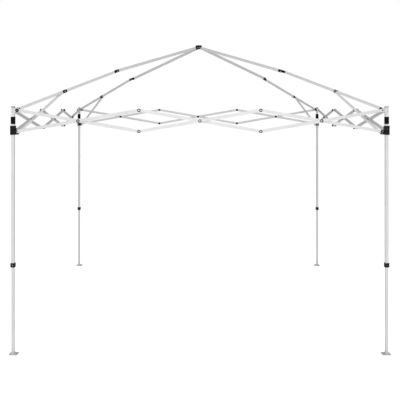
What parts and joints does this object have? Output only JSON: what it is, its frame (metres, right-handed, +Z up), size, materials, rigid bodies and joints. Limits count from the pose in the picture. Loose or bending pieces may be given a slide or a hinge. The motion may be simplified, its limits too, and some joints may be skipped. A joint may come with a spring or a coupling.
{
  "type": "pop up canopy frame",
  "caption": "Folding canopy frame: telescoping square legs joined by scissor trusses on sliders, with braced folding arms that meet at a peak hub.",
  "frame": {"origin": "on the floor, under the peak hub, at the centre of the four legs", "axes": "+X to the right and +Y to the back along the sides of the square plan, +Z up"},
  "size_m": [3.06, 3.06, 2.624],
  "materials": {
    "white_steel": "powder coat, satin",
    "black_plastic": "moulded, satin"
  },
  "bodies": {
    "outer_leg_front_left": {"outer_leg_front_left": "white_steel"},
    "inner_leg_front_left": {"inner_leg_front_left": "white_steel"},
    "slider_front_left": {"slider_front_left": "black_plastic"},
    "slider_button_front_left": {"slider_button_front_left": "black_plastic"},
    "leg_button_front_left": {"leg_button_front_left": "black_plastic"},
    "lower_arm_front_left": {"lower_arm_front_left": "white_steel"},
    "upper_arm_front_left": {"upper_arm_front_left": "white_steel"},
    "brace_front_left": {"brace_front_left": "white_steel"},
    "outer_leg_front_right": {"outer_leg_front_right": "white_steel"},
    "inner_leg_front_right": {"inner_leg_front_right": "white_steel"},
    "slider_front_right": {"slider_front_right": "black_plastic"},
    "slider_button_front_right": {"slider_button_front_right": "black_plastic"},
    "leg_button_front_right": {"leg_button_front_right": "black_plastic"},
    "lower_arm_front_right": {"lower_arm_front_right": "white_steel"},
    "upper_arm_front_right": {"upper_arm_front_right": "white_steel"},
    "brace_front_right": {"brace_front_right": "white_steel"},
    "outer_leg_back_right": {"outer_leg_back_right": "white_steel"},
    "inner_leg_back_right": {"inner_leg_back_right": "white_steel"},
    "slider_back_right": {"slider_back_right": "black_plastic"},
    "slider_button_back_right": {"slider_button_back_right": "black_plastic"},
    "leg_button_back_right": {"leg_button_back_right": "black_plastic"},
    "lower_arm_back_right": {"lower_arm_back_right": "white_steel"},
    "upper_arm_back_right": {"upper_arm_back_right": "white_steel"},
    "brace_back_right": {"brace_back_right": "white_steel"},
    "outer_leg_back_left": {"outer_leg_back_left": "white_steel"},
    "inner_leg_back_left": {"inner_leg_back_left": "white_steel"},
    "slider_back_left": {"slider_back_left": "black_plastic"},
    "slider_button_back_left": {"slider_button_back_left": "black_plastic"},
    "leg_button_back_left": {"leg_button_back_left": "black_plastic"},
    "lower_arm_back_left": {"lower_arm_back_left": "white_steel"},
    "upper_arm_back_left": {"upper_arm_back_left": "white_steel"},
    "brace_back_left": {"brace_back_left": "white_steel"},
    "front_falling_bar_1": {"front_falling_bar_1": "white_steel"},
    "front_rising_bar_1": {"front_rising_bar_1": "white_steel"},
    "front_falling_bar_2": {"front_falling_bar_2": "white_steel"},
    "front_rising_bar_2": {"front_rising_bar_2": "white_steel"},
    "front_rising_bar_3": {"front_rising_bar_3": "white_steel"},
    "front_falling_bar_3": {"front_falling_bar_3": "white_steel"},
    "right_falling_bar_1": {"right_falling_bar_1": "white_steel"},
    "right_rising_bar_1": {"right_rising_bar_1": "white_steel"},
    "right_falling_bar_2": {"right_falling_bar_2": "white_steel"},
    "right_rising_bar_2": {"right_rising_bar_2": "white_steel"},
    "right_rising_bar_3": {"right_rising_bar_3": "white_steel"},
    "right_falling_bar_3": {"right_falling_bar_3": "white_steel"},
    "back_falling_bar_1": {"back_falling_bar_1": "white_steel"},
    "back_rising_bar_1": {"back_rising_bar_1": "white_steel"},
    "back_falling_bar_2": {"back_falling_bar_2": "white_steel"},
    "back_rising_bar_2": {"back_rising_bar_2": "white_steel"},
    "back_rising_bar_3": {"back_rising_bar_3": "white_steel"},
    "back_falling_bar_3": {"back_falling_bar_3": "white_steel"},
    "left_falling_bar_1": {"left_falling_bar_1": "white_steel"},
    "left_rising_bar_1": {"left_rising_bar_1": "white_steel"},
    "left_falling_bar_2": {"left_falling_bar_2": "white_steel"},
    "left_rising_bar_2": {"left_rising_bar_2": "white_steel"},
    "left_rising_bar_3": {"left_rising_bar_3": "white_steel"},
    "left_falling_bar_3": {"left_falling_bar_3": "white_steel"},
    "peak_hub": {"peak_hub": "black_plastic"}
  },
  "joints": [
    {"name": "frame_fold", "type": "hinge", "parent": "outer_leg_front_left", "child": "lower_arm_front_left", "pos_m": [-1.46677, -1.46677, 1.969], "axis": [-0.7071, 0.7071, 0], "range_deg": [0, 106.19]},
    {"name": "knuckle_front_left", "type": "hinge", "parent": "lower_arm_front_left", "child": "upper_arm_front_left", "pos_m": [-0.75964, -0.75964, 2.3142], "axis": [-0.7071, 0.7071, 0], "range_deg": [-180.6, 0]},
    {"name": "hub_pivot_front_left", "type": "hinge", "parent": "upper_arm_front_left", "child": "peak_hub", "pos_m": [-0.0198, -0.0198, 2.598], "axis": [-0.7071, 0.7071, 0], "range_deg": [0, 74.41]},
    {"name": "hub_pivot_front_right", "type": "hinge", "parent": "peak_hub", "child": "upper_arm_front_right", "pos_m": [0.0198, -0.0198, 2.598], "axis": [-0.7071, -0.7071, 0], "range_deg": [-74.41, 0]},
    {"name": "knuckle_front_right", "type": "hinge", "parent": "upper_arm_front_right", "child": "lower_arm_front_right", "pos_m": [0.75964, -0.75964, 2.3142], "axis": [-0.7071, -0.7071, 0], "range_deg": [0, 180.6]},
    {"name": "arm_foot_front_right", "type": "hinge", "parent": "lower_arm_front_right", "child": "outer_leg_front_right", "pos_m": [1.46677, -1.46677, 1.969], "axis": [-0.7071, -0.7071, 0], "range_deg": [-106.2, 0]},
    {"name": "hub_pivot_back_right", "type": "hinge", "parent": "peak_hub", "child": "upper_arm_back_right", "pos_m": [0.0198, 0.0198, 2.598], "axis": [0.7071, -0.7071, 0], "range_deg": [-74.41, 0]},
    {"name": "knuckle_back_right", "type": "hinge", "parent": "upper_arm_back_right", "child": "lower_arm_back_right", "pos_m": [0.75964, 0.75964, 2.3142], "axis": [0.7071, -0.7071, 0], "range_deg": [0, 180.6]},
    {"name": "arm_foot_back_right", "type": "hinge", "parent": "lower_arm_back_right", "child": "outer_leg_back_right", "pos_m": [1.46677, 1.46677, 1.969], "axis": [0.7071, -0.7071, 0], "range_deg": [-106.2, 0]},
    {"name": "hub_pivot_back_left", "type": "hinge", "parent": "peak_hub", "child": "upper_arm_back_left", "pos_m": [-0.0198, 0.0198, 2.598], "axis": [0.7071, 0.7071, 0], "range_deg": [-74.41, 0]},
    {"name": "knuckle_back_left", "type": "hinge", "parent": "upper_arm_back_left", "child": "lower_arm_back_left", "pos_m": [-0.75964, 0.75964, 2.3142], "axis": [0.7071, 0.7071, 0], "range_deg": [0, 180.6]},
    {"name": "arm_foot_back_left", "type": "hinge", "parent": "lower_arm_back_left", "child": "outer_leg_back_left", "pos_m": [-1.46677, 1.46677, 1.969], "axis": [0.7071, 0.7071, 0], "range_deg": [-106.2, 0]},
    {"name": "front_left_top_pivot", "type": "hinge", "parent": "outer_leg_front_left", "child": "front_falling_bar_1", "pos_m": [-1.465, -1.5, 1.958], "axis": [0, -1, 0], "range_deg": [-77.78, 0]},
    {"name": "front_crossing_1", "type": "hinge", "parent": "front_falling_bar_1", "child": "front_rising_bar_1", "pos_m": [-0.97667, -1.5, 1.873], "axis": [0, -1, 0], "range_deg": [0, 155.56]},
    {"name": "front_upper_joint_1", "type": "hinge", "parent": "front_rising_bar_1", "child": "front_falling_bar_2", "pos_m": [-0.48833, -1.5, 1.958], "axis": [0, -1, 0], "range_deg": [-155.56, 0]},
    {"name": "front_slider_pivot", "type": "hinge", "parent": "front_rising_bar_1", "child": "slider_front_left", "pos_m": [-1.465, -1.5, 1.788], "axis": [0, -1, 0], "range_deg": [-77.78, 0]},
    {"name": "front_right_top_pivot", "type": "hinge", "parent": "outer_leg_front_right", "child": "front_rising_bar_3", "pos_m": [1.465, -1.5, 1.958], "axis": [0, -1, 0], "range_deg": [0, 77.78]},
    {"name": "front_crossing_3", "type": "hinge", "parent": "front_rising_bar_3", "child": "front_falling_bar_3", "pos_m": [0.97667, -1.5, 1.873], "axis": [0, -1, 0], "range_deg": [-155.56, 0]},
    {"name": "front_upper_joint_2", "type": "hinge", "parent": "front_falling_bar_3", "child": "front_rising_bar_2", "pos_m": [0.48833, -1.5, 1.958], "axis": [0, -1, 0], "range_deg": [0, 155.56]},
    {"name": "brace_foot_front_left", "type": "hinge", "parent": "slider_front_left", "child": "brace_front_left", "pos_m": [-1.4703, -1.4703, 1.771], "axis": [-0.7071, 0.7071, 0], "range_deg": [-48.78, 0]},
    {"name": "right_left_top_pivot", "type": "hinge", "parent": "outer_leg_front_right", "child": "right_falling_bar_1", "pos_m": [1.5, -1.465, 1.958], "axis": [1, 0, 0], "range_deg": [-77.78, 0]},
    {"name": "right_crossing_1", "type": "hinge", "parent": "right_falling_bar_1", "child": "right_rising_bar_1", "pos_m": [1.5, -0.97667, 1.873], "axis": [1, 0, 0], "range_deg": [0, 155.56]},
    {"name": "right_upper_joint_1", "type": "hinge", "parent": "right_rising_bar_1", "child": "right_falling_bar_2", "pos_m": [1.5, -0.48833, 1.958], "axis": [1, 0, 0], "range_deg": [-155.56, 0]},
    {"name": "right_slider_pivot", "type": "hinge", "parent": "right_rising_bar_1", "child": "slider_front_right", "pos_m": [1.5, -1.465, 1.788], "axis": [1, 0, 0], "range_deg": [-77.78, 0]},
    {"name": "right_right_top_pivot", "type": "hinge", "parent": "outer_leg_back_right", "child": "right_rising_bar_3", "pos_m": [1.5, 1.465, 1.958], "axis": [1, 0, 0], "range_deg": [0, 77.78]},
    {"name": "right_crossing_3", "type": "hinge", "parent": "right_rising_bar_3", "child": "right_falling_bar_3", "pos_m": [1.5, 0.97667, 1.873], "axis": [1, 0, 0], "range_deg": [-155.56, 0]},
    {"name": "right_upper_joint_2", "type": "hinge", "parent": "right_falling_bar_3", "child": "right_rising_bar_2", "pos_m": [1.5, 0.48833, 1.958], "axis": [1, 0, 0], "range_deg": [0, 155.56]},
    {"name": "brace_foot_front_right", "type": "hinge", "parent": "slider_front_right", "child": "brace_front_right", "pos_m": [1.4703, -1.4703, 1.771], "axis": [-0.7071, -0.7071, 0], "range_deg": [-48.78, 0]},
    {"name": "back_left_top_pivot", "type": "hinge", "parent": "outer_leg_back_right", "child": "back_falling_bar_1", "pos_m": [1.465, 1.5, 1.958], "axis": [0, 1, 0], "range_deg": [-77.78, 0]},
    {"name": "back_crossing_1", "type": "hinge", "parent": "back_falling_bar_1", "child": "back_rising_bar_1", "pos_m": [0.97667, 1.5, 1.873], "axis": [0, 1, 0], "range_deg": [0, 155.56]},
    {"name": "back_upper_joint_1", "type": "hinge", "parent": "back_rising_bar_1", "child": "back_falling_bar_2", "pos_m": [0.48833, 1.5, 1.958], "axis": [0, 1, 0], "range_deg": [-155.56, 0]},
    {"name": "back_slider_pivot", "type": "hinge", "parent": "back_rising_bar_1", "child": "slider_back_right", "pos_m": [1.465, 1.5, 1.788], "axis": [0, 1, 0], "range_deg": [-77.78, 0]},
    {"name": "back_right_top_pivot", "type": "hinge", "parent": "outer_leg_back_left", "child": "back_rising_bar_3", "pos_m": [-1.465, 1.5, 1.958], "axis": [0, 1, 0], "range_deg": [0, 77.78]},
    {"name": "back_crossing_3", "type": "hinge", "parent": "back_rising_bar_3", "child": "back_falling_bar_3", "pos_m": [-0.97667, 1.5, 1.873], "axis": [0, 1, 0], "range_deg": [-155.56, 0]},
    {"name": "back_upper_joint_2", "type": "hinge", "parent": "back_falling_bar_3", "child": "back_rising_bar_2", "pos_m": [-0.48833, 1.5, 1.958], "axis": [0, 1, 0], "range_deg": [0, 155.56]},
    {"name": "brace_foot_back_right", "type": "hinge", "parent": "slider_back_right", "child": "brace_back_right", "pos_m": [1.4703, 1.4703, 1.771], "axis": [0.7071, -0.7071, 0], "range_deg": [-48.78, 0]},
    {"name": "left_left_top_pivot", "type": "hinge", "parent": "outer_leg_back_left", "child": "left_falling_bar_1", "pos_m": [-1.5, 1.465, 1.958], "axis": [-1, 0, 0], "range_deg": [-77.78, 0]},
    {"name": "left_crossing_1", "type": "hinge", "parent": "left_falling_bar_1", "child": "left_rising_bar_1", "pos_m": [-1.5, 0.97667, 1.873], "axis": [-1, 0, 0], "range_deg": [0, 155.56]},
    {"name": "left_upper_joint_1", "type": "hinge", "parent": "left_rising_bar_1", "child": "left_falling_bar_2", "pos_m": [-1.5, 0.48833, 1.958], "axis": [-1, 0, 0], "range_deg": [-155.56, 0]},
    {"name": "left_slider_pivot", "type": "hinge", "parent": "left_rising_bar_1", "child": "slider_back_left", "pos_m": [-1.5, 1.465, 1.788], "axis": [-1, 0, 0], "range_deg": [-77.78, 0]},
    {"name": "left_right_top_pivot", "type": "hinge", "parent": "outer_leg_front_left", "child": "left_rising_bar_3", "pos_m": [-1.5, -1.465, 1.958], "axis": [-1, 0, 0], "range_deg": [0, 77.78]},
    {"name": "left_crossing_3", "type": "hinge", "parent": "left_rising_bar_3", "child": "left_falling_bar_3", "pos_m": [-1.5, -0.97667, 1.873], "axis": [-1, 0, 0], "range_deg": [-155.56, 0]},
    {"name": "left_upper_joint_2", "type": "hinge", "parent": "left_falling_bar_3", "child": "left_rising_bar_2", "pos_m": [-1.5, -0.48833, 1.958], "axis": [-1, 0, 0], "range_deg": [0, 155.56]},
    {"name": "brace_foot_back_left", "type": "hinge", "parent": "slider_back_left", "child": "brace_back_left", "pos_m": [-1.4703, 1.4703, 1.771], "axis": [0.7071, 0.7071, 0], "range_deg": [-48.78, 0]},
    {"name": "leg_height_front_left", "type": "slide", "parent": "outer_leg_front_left", "child": "inner_leg_front_left", "axis": [0, 0, 1], "range_m": [0, 0.6]},
    {"name": "slider_release_front_left", "type": "slide", "parent": "slider_front_left", "child": "slider_button_front_left", "axis": [1, 0, 0], "range_m": [0, 0.003], "stiffness_N_per_m": 400, "springref_m": -0.004},
    {"name": "leg_release_front_left", "type": "slide", "parent": "outer_leg_front_left", "child": "leg_button_front_left", "axis": [1, 0, 0], "range_m": [0, 0.002], "stiffness_N_per_m": 400, "springref_m": -0.004},
    {"name": "leg_height_front_right", "type": "slide", "parent": "outer_leg_front_right", "child": "inner_leg_front_right", "axis": [0, 0, 1], "range_m": [0, 0.6]},
    {"name": "slider_release_front_right", "type": "slide", "parent": "slider_front_right", "child": "slider_button_front_right", "axis": [0, 1, 0], "range_m": [0, 0.003], "stiffness_N_per_m": 400, "springref_m": -0.004},
    {"name": "leg_release_front_right", "type": "slide", "parent": "outer_leg_front_right", "child": "leg_button_front_right", "axis": [0, 1, 0], "range_m": [0, 0.002], "stiffness_N_per_m": 400, "springref_m": -0.004},
    {"name": "leg_height_back_right", "type": "slide", "parent": "outer_leg_back_right", "child": "inner_leg_back_right", "axis": [0, 0, 1], "range_m": [0, 0.6]},
    {"name": "slider_release_back_right", "type": "slide", "parent": "slider_back_right", "child": "slider_button_back_right", "axis": [-1, 0, 0], "range_m": [0, 0.003], "stiffness_N_per_m": 400, "springref_m": -0.004},
    {"name": "leg_release_back_right", "type": "slide", "parent": "outer_leg_back_right", "child": "leg_button_back_right", "axis": [-1, 0, 0], "range_m": [0, 0.002], "stiffness_N_per_m": 400, "springref_m": -0.004},
    {"name": "leg_height_back_left", "type": "slide", "parent": "outer_leg_back_left", "child": "inner_leg_back_left", "axis": [0, 0, 1], "range_m": [0, 0.6]},
    {"name": "slider_release_back_left", "type": "slide", "parent": "slider_back_left", "child": "slider_button_back_left", "axis": [0, -1, 0], "range_m": [0, 0.003], "stiffness_N_per_m": 400, "springref_m": -0.004},
    {"name": "leg_release_back_left", "type": "slide", "parent": "outer_leg_back_left", "child": "leg_button_back_left", "axis": [0, -1, 0], "range_m": [0, 0.002], "stiffness_N_per_m": 400, "springref_m": -0.004}
  ],
  "couplings": [
    {"joint": "knuckle_front_left", "follows": "frame_fold", "ratio": -1.7007},
    {"joint": "hub_pivot_front_left", "follows": "frame_fold", "ratio": 0.70067},
    {"joint": "hub_pivot_front_right", "follows": "frame_fold", "ratio": -0.70067},
    {"joint": "knuckle_front_right", "follows": "frame_fold", "ratio": 1.7007},
    {"joint": "arm_foot_front_right", "follows": "frame_fold", "ratio": -1},
    {"joint": "hub_pivot_back_right", "follows": "frame_fold", "ratio": -0.70067},
    {"joint": "knuckle_back_right", "follows": "frame_fold", "ratio": 1.7007},
    {"joint": "arm_foot_back_right", "follows": "frame_fold", "ratio": -1},
    {"joint": "hub_pivot_back_left", "follows": "frame_fold", "ratio": -0.70067},
    {"joint": "knuckle_back_left", "follows": "frame_fold", "ratio": 1.7007},
    {"joint": "arm_foot_back_left", "follows": "frame_fold", "ratio": -1},
    {"joint": "front_left_top_pivot", "follows": "frame_fold", "ratio": -0.73244},
    {"joint": "front_crossing_1", "follows": "frame_fold", "ratio": 1.4649},
    {"joint": "front_upper_joint_1", "follows": "frame_fold", "ratio": -1.4649},
    {"joint": "front_slider_pivot", "follows": "frame_fold", "ratio": -0.73244},
    {"joint": "front_right_top_pivot", "follows": "frame_fold", "ratio": 0.73244},
    {"joint": "front_crossing_3", "follows": "frame_fold", "ratio": -1.4649},
    {"joint": "front_upper_joint_2", "follows": "frame_fold", "ratio": 1.4649},
    {"joint": "brace_foot_front_left", "follows": "frame_fold", "ratio": -0.45925},
    {"joint": "right_left_top_pivot", "follows": "frame_fold", "ratio": -0.73244},
    {"joint": "right_crossing_1", "follows": "frame_fold", "ratio": 1.4649},
    {"joint": "right_upper_joint_1", "follows": "frame_fold", "ratio": -1.4649},
    {"joint": "right_slider_pivot", "follows": "frame_fold", "ratio": -0.73244},
    {"joint": "right_right_top_pivot", "follows": "frame_fold", "ratio": 0.73244},
    {"joint": "right_crossing_3", "follows": "frame_fold", "ratio": -1.4649},
    {"joint": "right_upper_joint_2", "follows": "frame_fold", "ratio": 1.4649},
    {"joint": "brace_foot_front_right", "follows": "frame_fold", "ratio": -0.45925},
    {"joint": "back_left_top_pivot", "follows": "frame_fold", "ratio": -0.73244},
    {"joint": "back_crossing_1", "follows": "frame_fold", "ratio": 1.4649},
    {"joint": "back_upper_joint_1", "follows": "frame_fold", "ratio": -1.4649},
    {"joint": "back_slider_pivot", "follows": "frame_fold", "ratio": -0.73244},
    {"joint": "back_right_top_pivot", "follows": "frame_fold", "ratio": 0.73244},
    {"joint": "back_crossing_3", "follows": "frame_fold", "ratio": -1.4649},
    {"joint": "back_upper_joint_2", "follows": "frame_fold", "ratio": 1.4649},
    {"joint": "brace_foot_back_right", "follows": "frame_fold", "ratio": -0.45925},
    {"joint": "left_left_top_pivot", "follows": "frame_fold", "ratio": -0.73244},
    {"joint": "left_crossing_1", "follows": "frame_fold", "ratio": 1.4649},
    {"joint": "left_upper_joint_1", "follows": "frame_fold", "ratio": -1.4649},
    {"joint": "left_slider_pivot", "follows": "frame_fold", "ratio": -0.73244},
    {"joint": "left_right_top_pivot", "follows": "frame_fold", "ratio": 0.73244},
    {"joint": "left_crossing_3", "follows": "frame_fold", "ratio": -1.4649},
    {"joint": "left_upper_joint_2", "follows": "frame_fold", "ratio": 1.4649},
    {"joint": "brace_foot_back_left", "follows": "frame_fold", "ratio": -0.45925}
  ]
}
